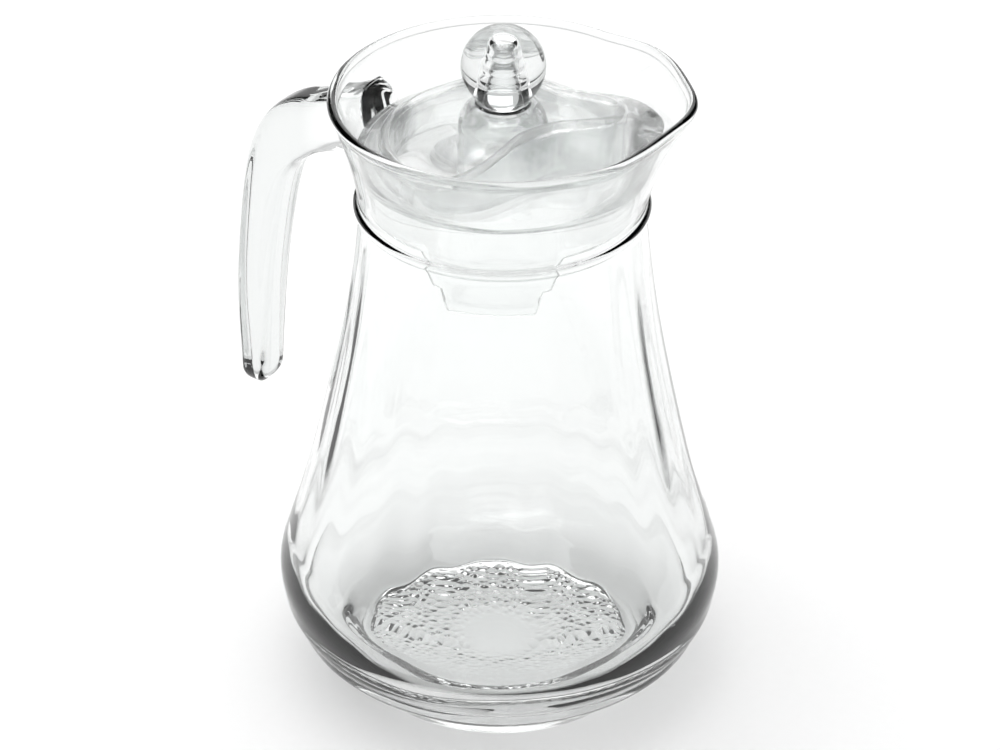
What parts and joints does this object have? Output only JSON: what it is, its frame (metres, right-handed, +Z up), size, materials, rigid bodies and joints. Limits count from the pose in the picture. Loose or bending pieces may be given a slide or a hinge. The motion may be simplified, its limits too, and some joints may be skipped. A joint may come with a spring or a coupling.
{
  "type": "glass water jug with lid",
  "caption": "Clear glass water jug with a flared neck, pulled spout, open-ended glass handle and a lift-out clear lid with a ball knob.",
  "frame": {"origin": "centre of the flat under the foot, on the jug's axis", "axes": "+Z up along the jug's axis, the handle is along -X, the spout is 23.5 degrees round from +X towards +Y"},
  "size_m": [0.1715, 0.143, 0.2315],
  "materials": {
    "clear_glass": "polished clear glass",
    "clear_plastic": "clear moulded plastic, glossy"
  },
  "bodies": {
    "jug": {"jug_body": "clear_glass", "jug_handle": "clear_glass"},
    "lid": {"lid_shell": "clear_plastic", "knob_stud": "clear_plastic", "lid_knob": "clear_plastic"}
  },
  "joints": [
    {"name": "lid_lift", "type": "slide", "parent": "jug", "child": "lid", "axis": [0, 0, 1], "range_m": [0, 0.06]}
  ]
}
